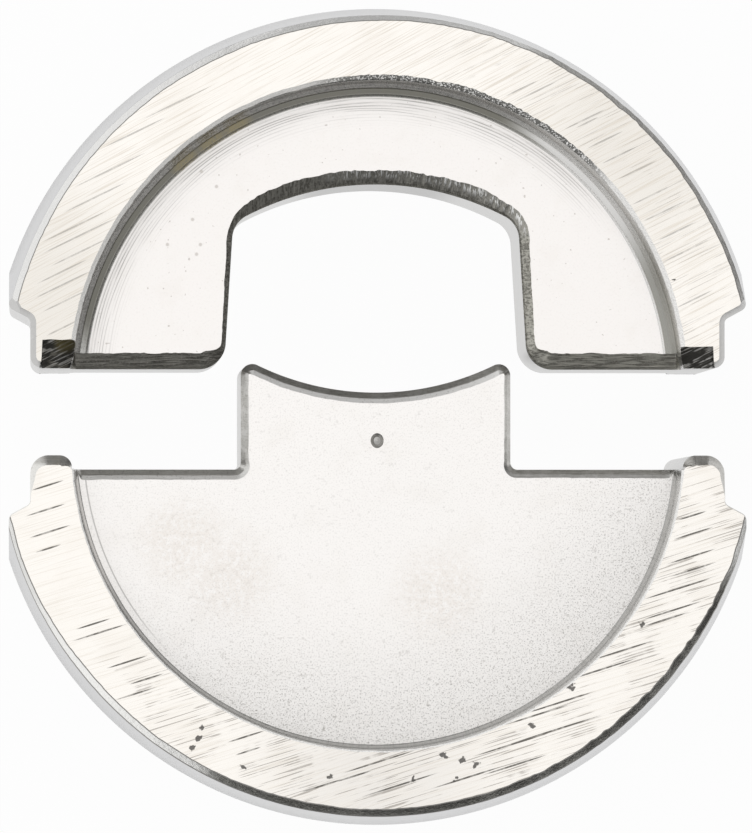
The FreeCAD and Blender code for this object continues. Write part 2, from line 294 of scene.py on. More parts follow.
upperGrinding = {
    "angle": 26, "fineAngle": 28,
    "scratches": [(-15.61, 9.71, 4.1), (-15.4, 9.22, 4.8), (-15.35, 8.39, 3.7), (-16.25, 7.39, 3.2),
                  (-16.25, 6.7, 3.7), (-16.12, 5.87, 2.8), (-16.25, 4.48, 2.0), (-13.81, 12.62, 4.6),
                  (-14.58, 11.2, 4.0), (-12.53, 14.55, 4.0), (-10.34, 16.1, 4.3), (7.41, 16.86, 2.1),
                  (8.14, 16.71, 2.8), (10.67, 15.27, 2.7), (10.79, 15.11, 1.4), (14.8, 10.55, 2.8),
                  (14.15, 11.38, 2.6), (13.38, 12.67, 2.5), (12.47, 13.44, 2.3), (11.7, 14.21, 2.3),
                  (15.44, 9.52, 2.5), (15.9, 8.5, 3.2), (16.3, 6.0, 2.4)],
    "depth": 0.42, "pits": [(11.9, 9.1), (15.3, 7.0), (-6.2, 16.2)], "pitRadius": 0.07,
    "brown": 0.42, "more": (0.66, 0.72), "moreWhere": (1.0, 0.0, -2.0, 8.0),
}
lowerGrinding = {
    "angle": 17.5, "fineAngle": 17,
    "scratches": [(-17.01, -3.61, 1.9), (-17.09, -4.87, 2.3), (-16.88, -5.98, 2.4),
                  (-16.96, -6.85, 1.5), (16.21, -5.15, 1.7), (15.4, -8.93, 3.9), (-1.22, -18.55, 2.2),
                  (16.26, -6.07, 2.3), (16.15, -7.26, 2.9), (16.23, -7.93, 2.7), (15.17, -10.04, 3.5),
                  (14.83, -10.5, 2.6), (11.43, -13.1, 4.4), (9.36, -14.78, 4.3), (9.11, -16.19, 5.4),
                  (7.04, -16.88, 4.8), (7.04, -17.99, 3.8), (4.59, -18.63, 4.1), (1.12, -19.01, 4.4),
                  (0.09, -17.8, 4.3), (-6.78, -16.51, 2.2), (-6.68, -17.26, 1.5), (-2.87, -19.04, 2.4),
                  (-12.43, -14.3, 2.4), (-11.92, -13.56, 2.0), (-12.9, -12.68, 2.4),
                  (-14.65, -10.73, 2.0), (-14.31, -11.17, 3.2), (12.6, -12.1, 3.6), (8.2, -15.4, 3.9)],
    "depth": 0.95, "pitRadius": 0.16,
    "brown": 0.24, "more": (0.61, 0.67), "moreWhere": (0.5, -1.0, 3.0, 9.0),
    "pits": [(-8.99, -16.05), (-9.25, -16.62), (-9.61, -17.18), (-6.93, -18.0), (-2.51, -18.57),
             (1.76, -18.78), (3.26, -17.45), (3.5, -17.5), (3.98, -18.73), (4.34, -17.65),
             (5.01, -18.01), (7.89, -15.96), (9.96, -13.9), (13.57, -10.66), (-9.97, -11.07),
             (-10.38, -11.58)],
}


def groundRim(name, g, shade, patches):
    # A rim's ground face: a mesh of faint lines, broken deeper scratches, pits, and broad patches of painted
    # shade.
    f = Finish(name, (0.965, 0.93, 0.88), 0.27)
    fine = f.lines(g["fineAngle"], 4.0, 0.075, 0.0, 1.0)
    coarse = f.lines(g["fineAngle"] + 2, 6.0, 0.17, 3.0, 2.0)
    cloud = f.noise(f.place, 0.45, 3.0, 0.6)
    broken = f.noise(f.place, 1.7, 3.0, 0.6).between(0.30, 0.56)
    deep = f.strokes(g["angle"], g["scratches"], 0.048) * (0.5 + 0.5 * broken)
    across, down, start, full = g["moreWhere"]
    more = f.lines(g["angle"], 3.6, 0.07, 9.0, 0.0).between(*g["more"]) * cloud.between(0.40, 0.55)
    more = more * (f.x * across + f.y * down).between(start, full)
    pit = f.spots(g["pits"], g["pitRadius"], 0.6, 0.8)
    # painted shade: broad darker patches round the given places
    f.tint((f.spots(patches, 9.0, 0.1) * 0.8, shade),
           (cloud.between(0.42, 0.68) * 0.3, (0.88, 0.83, 0.76)),
           (fine.between(0.52, 0.68) * g["brown"], (0.66, 0.59, 0.49)),
           (coarse.between(0.56, 0.70) * g["brown"] * 0.7, (0.66, 0.60, 0.52)),
           (more * g["depth"] * 0.62, (0.24, 0.21, 0.18)), (deep * g["depth"], (0.13, 0.12, 0.105)),
           (pit * 0.9, (0.09, 0.085, 0.08)))
    f.relief(fine * 0.35 + coarse * 0.5 - more * 0.5 - deep * 2.0 * g["depth"] - pit * 3.0, 0.005)
    return f.material


def turnedWeb(name, centreY, edge):
    # The upper half's sunk face: satin, with turning marks beside the recess's wall round the top.
    f = Finish(name, (0.94, 0.91, 0.885), 0.3)
    radius, bearing = f.polar(centreY)
    arch = bearing.within(52, 172, 20)
    drift = f.noise(f.vector(radius / 0.5, 0.0, bearing / 50), 1.0, 2.0)
    rings = (radius * 41.0 + drift * 15.0).sine()
    near = radius.between(edge - 2.6, edge - 0.7) ** 1.5 * arch
    broken = f.noise(f.vector(radius / 0.35, 4.0, bearing / 12), 1.0, 2.0).between(0.32, 0.62)
    grain = f.noise(f.place, 9.0, 3.0, 0.6)
    cloud = f.noise(f.place, 0.5, 3.0, 0.6)
    freckle = f.noise(f.place, 4.6, 1.0).between(0.745, 0.785)
    specks = f.spots([(-9.05, 12.69), (-8.27, 11.91), (-9.51, 10.2), (-10.81, 8.9), (-9.3, 8.4),
                      (-9.1, 8.9)], 0.13)
    f.tint((cloud.between(0.5, 0.72) * 0.3, (0.88, 0.84, 0.80)),
           (grain.between(0.5, 0.75) * 0.16, (0.62, 0.59, 0.55)), (near * 0.18, (0.62, 0.61, 0.60)),
           (rings.between(0.3, 1.0) * broken * near * 0.85, (0.28, 0.275, 0.26)),
           ((freckle + specks).least(1.0) * 0.55, (0.45, 0.41, 0.37)))
    f.relief(rings * near * 0.3 + grain * 0.25, 0.012)
    return f.material


def blastedWeb(name, centreY, edge):
    # The lower half's sunk face: blasted, with painted shade towards the recess's lower right wall, greyer
    # and coarser there.
    f = Finish(name, (0.99, 0.965, 0.94), 0.34)
    radius, bearing = f.polar(centreY)
    outward = (f.x * 0.45 - f.y).between(1.0, 15.0)
    # painted shade: near greys the web and darkens its grain by the lower right wall
    near = radius.between(edge - 9.0, edge - 0.6) * outward
    grain = f.noise(f.place, 12.0, 2.0, 0.7)
    coarse = f.noise(f.place, 4.2, 2.0, 0.6)
    cloud = f.noise(f.place, 0.42, 3.0, 0.6)
    stain = f.spots([(3.3, -9.1), (-10.0, -6.6), (-7.6, -8.4)], 3.4, 0.2) * coarse.between(0.3, 0.6)
    groove = radius.within(edge - 0.58, edge - 0.55, 0.04) * (1 - bearing.between(-150, -132))
    groove = groove * f.x.between(-6.0, -12.0)
    f.tint((cloud.between(0.48, 0.72) * 0.2, (0.87, 0.83, 0.78)), (stain * 0.3, (0.76, 0.68, 0.60)),
           (near * 0.2, (0.72, 0.715, 0.70)),
           (grain.between(0.52, 0.66) * (near * 0.55 + 0.2), (0.36, 0.35, 0.33)),
           (coarse.between(0.62, 0.72) * (near * 0.3 + 0.15), (0.4, 0.38, 0.35)),
           (groove * 0.7, (0.4, 0.39, 0.38)))
    f.relief(grain * (near * 0.7 + 0.3), 0.02)
    return f.material


def scrapedEdge(name, roofY):
    # The nest's chamfer: dark and speckled, with upright tool marks under the roof and level ones
    # along the legs, and teeth at its upper edge whose white is a painted glint. Its lowest facet and
    # its right leg are paler, a painted reflection.
    f = Finish(name, (0.40, 0.39, 0.355), 0.36)
    teeth = f.noise(f.vector(f.x / 0.13, f.y / 0.7, f.z / 0.7), 1.0, 2.0, 0.7)
    level = f.noise(f.vector(f.x / 1.2, f.y / 0.10, f.z / 0.10), 1.0, 2.0, 0.6)
    roof = f.y.between(roofY - 1.0, roofY + 0.6)
    marks = teeth * roof + level * (1 - roof)
    grain = f.noise(f.place, 9.0, 3.0, 0.7)
    high = f.z.between(11.62, 11.9)
    toRight = f.x.between(-3.5, -1.0)
    # painted reflection: paler along the right leg and on the lowest facet; painted glint: white teeth from
    # the middle rightwards
    f.tint((f.x.between(3.0, 9.0) * (1 - roof) * 0.6, (0.64, 0.63, 0.56)),
           (marks.between(0.42, 0.58) * 0.7, (0.12, 0.115, 0.10)),
           (grain.between(0.50, 0.66) * 0.5, (0.56, 0.54, 0.49)),
           ((1 - f.z.between(11.40, 11.58)) * 0.4, (0.72, 0.71, 0.66)),
           (teeth.between(0.50, 0.58) * high * roof * toRight, (1.0, 1.0, 0.98)))
    f.relief(marks * 0.7 + grain * 0.3, 0.04)
    return f.material


def planedEdge(name, ledgeY):
    # The tongue's and the ledges' chamfers: grey, with faint marks along them. The inner facet of
    # the tongue's top is paler, and so is the ledge at the left: both are painted highlights.
    f = Finish(name, (0.56, 0.55, 0.525), 0.3)
    onTop = f.y.between(ledgeY + 1.8, ledgeY + 2.6) * (1 - abs(f.x).between(6.45, 6.75))
    # painted highlight: the inner facet of the tongue's top, near white
    inner = f.z.between(11.80, 11.87) * (1 - f.z.between(12.3, 12.5)) * onTop
    leftLedgeHighlight = (1 - f.x.between(-8.0, -2.0)) * (1 - f.y.between(ledgeY + 0.1, ledgeY + 0.4))
    level = f.noise(f.vector(f.x / 1.6, f.y / 0.07, f.z / 0.07), 1.0, 2.0, 0.6)
    blotch = f.noise(f.place, 1.6, 3.0, 0.7)
    grain = f.noise(f.place, 8.0, 2.0, 0.6)
    f.tint((level.between(0.45, 0.65) * 0.5, (0.34, 0.33, 0.30)),
           (blotch.between(0.45, 0.65) * 0.5, (0.72, 0.71, 0.69)), (leftLedgeHighlight * 0.6, (0.98, 0.97, 0.94)),
           (inner * 0.9, (0.98, 0.97, 0.95)), (grain.between(0.55, 0.7) * 0.3, (0.3, 0.29, 0.27)))
    f.relief(level * 0.6 + grain * 0.3, 0.012)
    return f.material


def filedShadedEnd(name):
    # The bevels at the rim's ends: painted nearly black as painted shade, with bright strokes of a file
    # across them.
    # painted shade: the near black base colour stands in for shade on these bevels
    f = Finish(name, (0.10, 0.098, 0.09), 0.3)
    strokes = f.lines(26, 1.6, 0.11, 4.0, 1.0)
    patch = f.noise(f.place, 1.5, 2.0)
    f.tint((strokes.between(0.51, 0.59) * patch.between(0.38, 0.5) * 0.9, (0.78, 0.77, 0.75)),
           (patch.between(0.56, 0.72) * 0.5, (0.4, 0.38, 0.33)),
           (f.spots([(-16.14, 3.75)], 0.7, 0.3) * 0.7, (0.33, 0.28, 0.12)))
    f.relief(strokes, 0.03)
    return f.material


def edgeBreak(name, colour, speckle, centreY, shadeColour, stretch):
    # The broken edge round a seat: speckled, with painted shade over a stretch of bearings.
    f = Finish(name, colour, 0.25)
    grain = f.noise(f.place, 7.0, 3.0, 0.75)
    bearing = f.polar(centreY)[1]
    # painted shade: darker and more speckled over this stretch of bearings
    shadedStretch = bearing.within(*stretch, 6)
    speck = tuple(c * 0.35 for c in shadeColour)
    f.tint((shadedStretch * 0.95, shadeColour), (grain.between(0.45, 0.62) * (0.06 + shadedStretch * speckle), speck))
    f.relief(grain, 0.02)
    return f.material


def recessWall(name, centreY, edge, marks, stained, dirty):
    # The bored wall: clean steel with bands of painted shade along it. Each has its distances from the
    # recess's edge, its bearings with the fade at their ends, how strong it is and its colour. Between the
    # dirty bearings it is mottled too.
    f = Finish(name, (0.9, 0.89, 0.87), 0.24)
    radius, bearing = f.polar(centreY)
    turning = f.noise(f.vector(radius / 0.06, f.z / 0.06, bearing / 50), 1.0, 2.0, 0.6)
    grain = f.noise(f.place, 8.0, 3.0, 0.75)
    # painted shade: each band darkens the wall over its bearings
    bands = [((radius - edge).within(low, high, 0.04) * bearing.within(first, last, fade) * strength, colour)
             for low, high, first, last, fade, strength, colour in marks]
    stains = []
    if stained:
        stains = [(f.spots(stained, 1.1, 0.3) * grain.between(0.3, 0.6) * 0.6, (0.46, 0.37, 0.16))]
    mottled = bearing.within(*dirty, 10)
    f.tint((turning.between(0.45, 0.65) * (0.1 + mottled * 0.2), (0.6, 0.59, 0.56)), *bands, *stains,
           (grain.between(0.48, 0.64) * mottled * 0.55, (0.24, 0.235, 0.22)))
    f.relief(turning * 0.6 + grain * 0.3, 0.01)
    return f.material


def recessLip(name, centreY, burrAndShade):
    # The fine edge between wall and rim, with a black and white burr round the upper right, and
    # painted shade greying it round the upper left.
    f = Finish(name, (0.9, 0.89, 0.87), 0.25)
    bearing = f.polar(centreY)[1]
    specks = f.noise(f.place, 11.0, 2.0, 0.7)
    torn = bearing.within(48, 96, 8) * burrAndShade
    f.tint((specks.between(0.40, 0.50) * torn * 0.95, (0.05, 0.05, 0.045)),
           (specks.between(0.46, 0.6) * 0.2, (0.5, 0.49, 0.47)),
           # painted shade: the lip greyed between bearings 100 and 165
           (bearing.within(100, 165, 10) * burrAndShade * 0.35, (0.45, 0.44, 0.41)))
    f.relief(specks, 0.02)
    return f.material


def satinWall(name, colour, roughness, marks=0.0, roofY=1000.0):
    # Plain smooth steel, with painted shade in the middle of the nest's roof.
    f = Finish(name, colour, roughness)
    # painted shade: the middle of the wall under the nest's roof is darkened
    roof = f.y.between(roofY - 0.9, roofY - 0.3) * (1 - abs(f.x).between(2.5, 6.0))
    grain = f.noise(f.place, 4.0, 3.0, 0.6)
    turning = f.noise(f.vector(0.0, 0.0, f.z / 0.12), 1.0, 1.0)
    duller, roofShade = [tuple(c * share for c in colour) for share in (0.85, 0.5)]
    f.tint((grain.between(0.45, 0.7) * 0.25, duller), (roof * 0.8, roofShade))
    f.relief(grain * 0.4 + turning * marks, 0.008)
    return f.material


seatSteel = satinWall("seatSteel", (0.60, 0.60, 0.605), 0.28, 0.6)
milledSteel = satinWall("milledSteel", (0.575, 0.57, 0.56), 0.28, 0.0, upperY + die["upperParting"] + 9.6)
# painted shade: the dark grey of the fine corner at the rim's face edge stands in for a burr's shadow
cornerShadeSteel = satinWall("cornerShadeSteel", (0.34, 0.33, 0.315), 0.3)
punchSteel = satinWall("punchSteel", (0.5, 0.49, 0.47), 0.25)
scrapedSteel = scrapedEdge("scrapedSteel", upperY + die["upperParting"] + 7.4)
planedSteel = planedEdge("planedSteel", lowerY - die["lowerParting"] - 0.7)
filedShadedSteel = filedShadedEnd("filedShadedSteel")
# Each break's last two: the colour of its painted shade and the bearings it covers.
upperBreakSteel = edgeBreak("upperBreakSteel", (0.86, 0.855, 0.84), 0.2, upperY,
                            (0.5, 0.49, 0.47), (18, 62))
lowerBreakSteel = edgeBreak("lowerBreakSteel", (0.97, 0.965, 0.94), 0.5, lowerY,
                            (0.26, 0.255, 0.235), (-114, -24))
print("finishes made")


# Shapes

def smooth(low, high, value):
    t = np.clip((value - low) / (high - low), 0, 1)
    return t * t * (3 - 2 * t)


def wander(position, wavelength, seed):
    # Smooth random values from -1 to 1 along a line: random knots joined by eased ramps.
    count, offset = 4096, 1000                          # the offset keeps places positive
    knots = np.random.default_rng(seed).uniform(-1, 1, count)
    place = np.asarray(position) / wavelength + offset
    index = np.floor(place).astype(int)
    t = place - index
    t = t * t * (3 - 2 * t)
    return knots[index % count] * (1 - t) + knots[(index + 1) % count] * t


def stackRings(name, rings, finishes, bands):
    # Closed rings of points, one above the other, with a flat cap on the first and on the last.
    # bands gives the number of the finish of each gap between rings, then those of both caps. A
    # gap's entry may be one number or one for each face round it.
    count, around = rings.shape[:2]
    here = np.arange(around)
    after = (here + 1) % around
    level = (np.arange(count - 1) * around)[:, None]
    quads = np.stack([level + here, level + after, level + around + after, level + around + here], -1)
    quads = quads.reshape(-1, 4)
    loops = np.concatenate([quads.ravel(), here[::-1], here + (count - 1) * around])
    starts = np.concatenate([np.arange(len(quads)) * 4, [len(quads) * 4, len(quads) * 4 + around]])
    gaps = [np.broadcast_to(np.asarray(b), (around,)) for b in bands[:count - 1]]
    slots = np.concatenate(gaps + [bands[count - 1:]])
    mesh = bpy.data.meshes.new(name)
    mesh.vertices.add(count * around)
    mesh.vertices.foreach_set("co", (rings * mm).astype(np.float32).ravel())
    mesh.loops.add(len(loops))
    mesh.loops.foreach_set("vertex_index", loops.astype(np.int32))
    mesh.polygons.add(len(starts))
    mesh.polygons.foreach_set("loop_start", starts.astype(np.int32))
    mesh.polygons.foreach_set("material_index", slots.astype(np.int32))
    for finish in finishes:
        mesh.materials.append(finish)
    mesh.update(calc_edges=True)
    mesh.validate()
    piece = bpy.data.objects.new(name, mesh)
    scene.collection.objects.link(piece)
    return piece


def turned(centreY, profile, steps, ripple=None):
    # A lathe's shape: each profile point (radius, height) goes round the axis at (0, centreY).
    # ripple gives, for the angles, what is added to every ring's radius and to its height.
    angle = np.arange(steps) / steps * 2 * np.pi
    outwards, upwards = ripple(angle) if ripple else (0, 0)
    radius = profile[:, :1] + outwards + 0 * angle
    height = profile[:, 1:] + upwards + 0 * angle
    return np.stack([radius * np.cos(angle), centreY + radius * np.sin(angle), height], -1)


def lengthAlong(path):
    return np.concatenate([[0], np.cumsum(np.linalg.norm(np.diff(path, axis=0), axis=1))])


def arcPoints(centre, radius, start, turn, step):
    angle = start + np.linspace(0, turn, max(3, int(abs(turn) * radius / step) + 2))
    return np.stack([centre[0] + radius * np.cos(angle), centre[1] + radius * np.sin(angle)], -1)


def angleBetween(first, second):
    return math.atan2(first[0] * second[1] - first[1] * second[0], first @ second)


def roundCorner(before, corner, after, radius, step):
    # The arc that touches both straight edges of a corner, from the first edge to the second.
    if not radius:
        return corner[None]
    u = (before - corner) / np.linalg.norm(before - corner)
    v = (after - corner) / np.linalg.norm(after - corner)
    half = math.acos(np.clip(u @ v, -1, 1)) / 2
    centre = corner + (u + v) / np.linalg.norm(u + v) * radius / math.sin(half)
    first = corner + u * radius / math.tan(half) - centre
    last = corner + v * radius / math.tan(half) - centre
    return arcPoints(centre, radius, math.atan2(first[1], first[0]), angleBetween(first, last), step)


def sideOutline(corners, bowY, bowRadius, bowSide, step):
    # The milled outline's right side, from the flat to the middle line. Its straight edges end in
    # an arc about (0, bowY), over that centre for bowSide 1 and under it for -1. The last corner's
    # round lies inside the arc in the first case and outside it in the second.
    points = [np.array(c[:2]) for c in corners]
    pieces = [points[0][None]]
    for i in range(1, len(points) - 1):
        pieces.append(roundCorner(points[i - 1], points[i], points[i + 1], corners[i][2], step))
    radius = corners[-1][2]
    wall = (points[-1] - points[-2]) / np.linalg.norm(points[-1] - points[-2])
    inward = np.array([-wall[1], wall[0]])
    bow = np.array([0.0, bowY])
    away = bowRadius - bowSide * radius
    base = points[-2] + inward * radius - bow
    along = bowSide * math.sqrt((base @ wall) ** 2 - base @ base + away ** 2) - base @ wall
    centre = bow + base + wall * along
    outwards = (centre - bow) / away * bowSide
    first = math.atan2(-inward[1], -inward[0])
    pieces.append(arcPoints(centre, radius, first, angleBetween(-inward, outwards), step))
    meeting = pieces[-1][-1] - bow
    start = math.atan2(meeting[1], meeting[0])
    pieces.append(arcPoints(bow, bowRadius, start, bowSide * math.pi / 2 - start, step))
    path = np.concatenate(pieces)
    run = lengthAlong(path)
    plain = run[1] - 0.8                                # the flat needs few points
    count = int((run[-1] - plain) / step)
    even = np.concatenate([np.linspace(0, plain, 5)[:-1], np.linspace(plain, run[-1], count)])
    return np.stack([np.interp(even, run, path[:, 0]), np.interp(even, run, path[:, 1])], -1)


def turnBlank(name, b, finishes):
    # The disc: a cylinder with lead-in cones, broken edges and a fine corner on each side of
    # them, painted dark as painted shade for a burr's shadow. The edges waver by the given amount.
    d = die
    cone = d["seatRadius"] - d["leadDepth"]
    face = cone - d["breakWidth"]
    top, drop = d["rimTop"], d["breakHeight"]
    half = np.array([(d["seatRadius"], top - drop - d["leadHeight"]),
                     (cone + b["outerLine"], top - drop - b["outerLine"]), (cone, top - drop),
                     (face + b["faceLine"], top - 0.02), (face, top)])
    profile = np.concatenate([half[::-1] * (1, -1) + (0, top), half])
    # How much each profile point takes of the wavering and of the narrow stretches' rise.
    ease = np.array([0, 0.3, 0.4, 1.0, 1.0])
    sway = np.concatenate([ease[::-1], ease])[:, None]
    rise = np.array([0, 0.9, 1.0, 0, 0])
    rise = np.concatenate([-rise[::-1], rise])[:, None]

    def ripple(angle):
        # Where the break is narrow, its inner edge lies further out and its outer edge higher.
        run = angle * d["seatRadius"]
        torn = b["torn"](np.degrees(angle))
        narrow = b["narrow"](np.degrees(angle))
        jag = 0.5 * wander(run, 1.1, b["seed"]) + 0.5 * wander(run, 0.3, b["seed"] + 1)
        return sway * (b["waver"] * (jag - 0.3) * (0.5 + torn) + narrow), rise * narrow * 0.8
    return stackRings(name, turned(0.0, profile, d["turnedSteps"], ripple), finishes,
                      np.array([2, 1, b["outerFinish"], 0, 0, 0, b["outerFinish"], 1, 2, 3, 3]))


def recessCutter(name, r, finishes, back):
    # The bored recess: a floor that rises a little to its edge, then the wall's profile, given as
    # steps inside the recess's radius and over the web, and a lip.
    d = die
    radius = r["recessRadius"]
    wall = np.array(r["wall"]) * (-1, 1) + (radius, d["webTop"])
    start, count = radius - 5.0, 14                     # where the floor begins to rise, and its points
    inner = np.linspace(start, wall[0, 0], count)[:, None]
    floor = np.hstack([inner, d["webTop"] + r["wall"][0][1] * smooth(start, wall[0, 0], inner)])
    steep, slope = 0.04, 0.27                           # the lip's steep part, and the slope of the rest
    drop = (r["lip"] - steep) * slope
    rim = np.array([(radius, -steep - drop), (radius + steep, -drop), (radius + r["lip"], 0),
                    (radius + r["lip"] + 1, 1)]) + (0, d["rimTop"])
    profile = np.concatenate([floor, wall[1:], rim])
    sway = np.zeros((len(profile), 1))
    sway[-3:] = r["lipWaver"]
    bands = np.array([0] * (count - 1) + [1] * len(wall) + [2] * 3)
    if back:
        profile, sway, bands = (profile * (1, -1) + (0, d["rimTop"]))[::-1], sway[::-1], bands[::-1]

    def ripple(angle):
        run = angle * radius
        torn = 0.4 + r["torn"](np.degrees(angle))
        jag = 0.6 * wander(run, 0.9, r["seed"]) + 0.4 * wander(run, 0.2, r["seed"] + 1)
        return sway * torn * jag, 0
    rings = turned(r["recessY"], profile, d["turnedSteps"], ripple)
    return stackRings(name, rings, finishes, np.append(bands, [0, 0]))


def outlineCutter(name, right, side, shape, finishes):
    # The milled outline carried up through the thickness, with a path that keeps the metal on its
    # right. shape gives the rings of the front half and the finishes of the gaps between them.
    left = right * (-1, 1)
    path = np.concatenate([right, left[::-1][1:]] if side > 0 else [left, right[::-1][1:]])
    tangent = np.gradient(path, axis=0)
    tangent /= np.linalg.norm(tangent, axis=1)[:, None]
    normal = np.stack([tangent[:, 1], -tangent[:, 0]], -1)
    run = lengthAlong(path)
    front, bands = shape(path, normal, run)
    far = die["cutReach"] * side * np.array([(-1, 1), (-1, -1), (1, -1), (1, 1)])
    outer = np.concatenate([np.repeat(far[None], len(front), 0), np.repeat(front[:, :1, 2:], 4, 1)], -1)
    front = np.concatenate([front, outer], 1)
    rings = np.concatenate([front[::-1] * (1, 1, -1) + (0, 0, die["rimTop"]), front])
    bands = [np.concatenate([np.broadcast_to(b, (len(path),)), [0] * 4]) for b in bands]
    return stackRings(name, rings, finishes, bands[::-1] + [0] + bands + [0, 0])


def carve(piece, cutters):
    # Takes the cutters away from the piece. Faces that a cutter leaves keep its finish.
    for cutter in cutters:
        cut = piece.modifiers.new("cut", "BOOLEAN")
        cut.operation, cut.solver, cut.object = "DIFFERENCE", "MANIFOLD", cutter
        cut.material_mode = "TRANSFER"
    bpy.context.view_layer.update()
    mesh = bpy.data.meshes.new_from_object(piece.evaluated_get(bpy.context.evaluated_depsgraph_get()))
    piece.modifiers.clear()
    piece.data = mesh
    for cutter in cutters:
        bpy.data.objects.remove(cutter)


def settle(piece, lift, node, body):
    # Lifts the mesh to its place, smooths it up to sharp edges and stands it in for its node.
    mesh = piece.data
    mesh.transform(Matrix.Translation((0, lift * mm, 0)))
    mesh.shade_smooth()
    mesh.set_sharp_from_angle(angle=math.radians(11))
    mesh.update()
    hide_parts(node)
    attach(piece, body)
    triangles = sum(len(p.vertices) - 2 for p in mesh.polygons)
    print(piece.name, len(mesh.vertices), "points", triangles, "triangles")


def ringAt(path, normal, inward, height):
    # The outline moved into the metal, at a height. Both may differ from point to point.
    moved = path + inward[:, None] * normal
    return np.concatenate([moved, (height + 0 * inward)[:, None]], -1)


# The upper half

upperHalf = {
    "recessRadius": 15.72, "recessOffset": 0.88, "lip": 0.25, "lipWaver": 0.07, "seed": 31,
    "wall": [(0.72, 0.01), (0.67, 0.03), (0.57, 0.13), (0.30, 0.22), (0.04, 0.50), (0.0, 0.9)],
    "wallShadeBands": [(-0.56, -0.27, 66, 166, 12, 0.95, (0.22, 0.213, 0.18)),
                  (-0.74, -0.56, 60, 166, 12, 0.7, (0.45, 0.44, 0.40)),
                  (-0.27, -0.02, 22, 62, 8, 0.3, (0.6, 0.595, 0.58)),
                  (-0.04, 0.02, 22, 62, 8, 0.6, (0.4, 0.395, 0.38)),
                  (-0.58, -0.04, -8, 20, 18, 0.9, (0.36, 0.355, 0.32))],
    "stained": [(-8.5, 14.2), (-9.9, 13.2), (-7.2, 15.0)], "dirty": (72, 172),
    # a cut across the left shoulder's corner, with each height's shift away from that line
    "cornerCut": {"from": (-18.6, 4.85), "to": (-17.56, 2.9),
                  "levels": [(12.4, 1.12), (14.9, 0.12), (15.02, -0.02)]},
    "torn": lambda bearing: smooth(42, 55, bearing) * (1 - smooth(92, 100, bearing)),
    "roofX": 7.4, "mouthX": 7.865, "nestHeight": 9.6, "roofRadius": 14.5,
    "roofCorner": 1.4, "mouthCorner": 1.4, "legChamfer": 0.83, "roofChamfer": 0.74,
    "leftWallChamfer": (0.24, 0.28), "rightWallChamfer": (0.46, 0.52),    # at the mouth, at the roof
    "chamferSlope": 0.78, "facets": [(0.0, 1.0), (0.18, 0.72), (0.94, 0.05), (1.0, 0.0)],
    "endCorner": 0.6, "leftBevel": 1.45, "rightBevel": 1.12, "endChamfer": 0.3,
    "blank": {"faceLine": 0.05, "outerLine": 0.02, "outerFinish": 0, "waver": 0.05, "seed": 21,
              "narrow": lambda bearing: 0.21 * (1 - smooth(60, 115, bearing)),
              "torn": lambda bearing: smooth(15, 30, bearing) * (1 - smooth(66, 80, bearing)) * 0.6},
}


def recessFinishes(half, web, r, centreY, burrAndShade):
    # Those of a recess's floor, wall and lip.
    wall = recessWall(half + "WallSteel", centreY, r["recessRadius"], r["wallShadeBands"], r["stained"],
                      r["dirty"])
    return [web, wall, recessLip(half + "LipSteel", centreY, burrAndShade)]


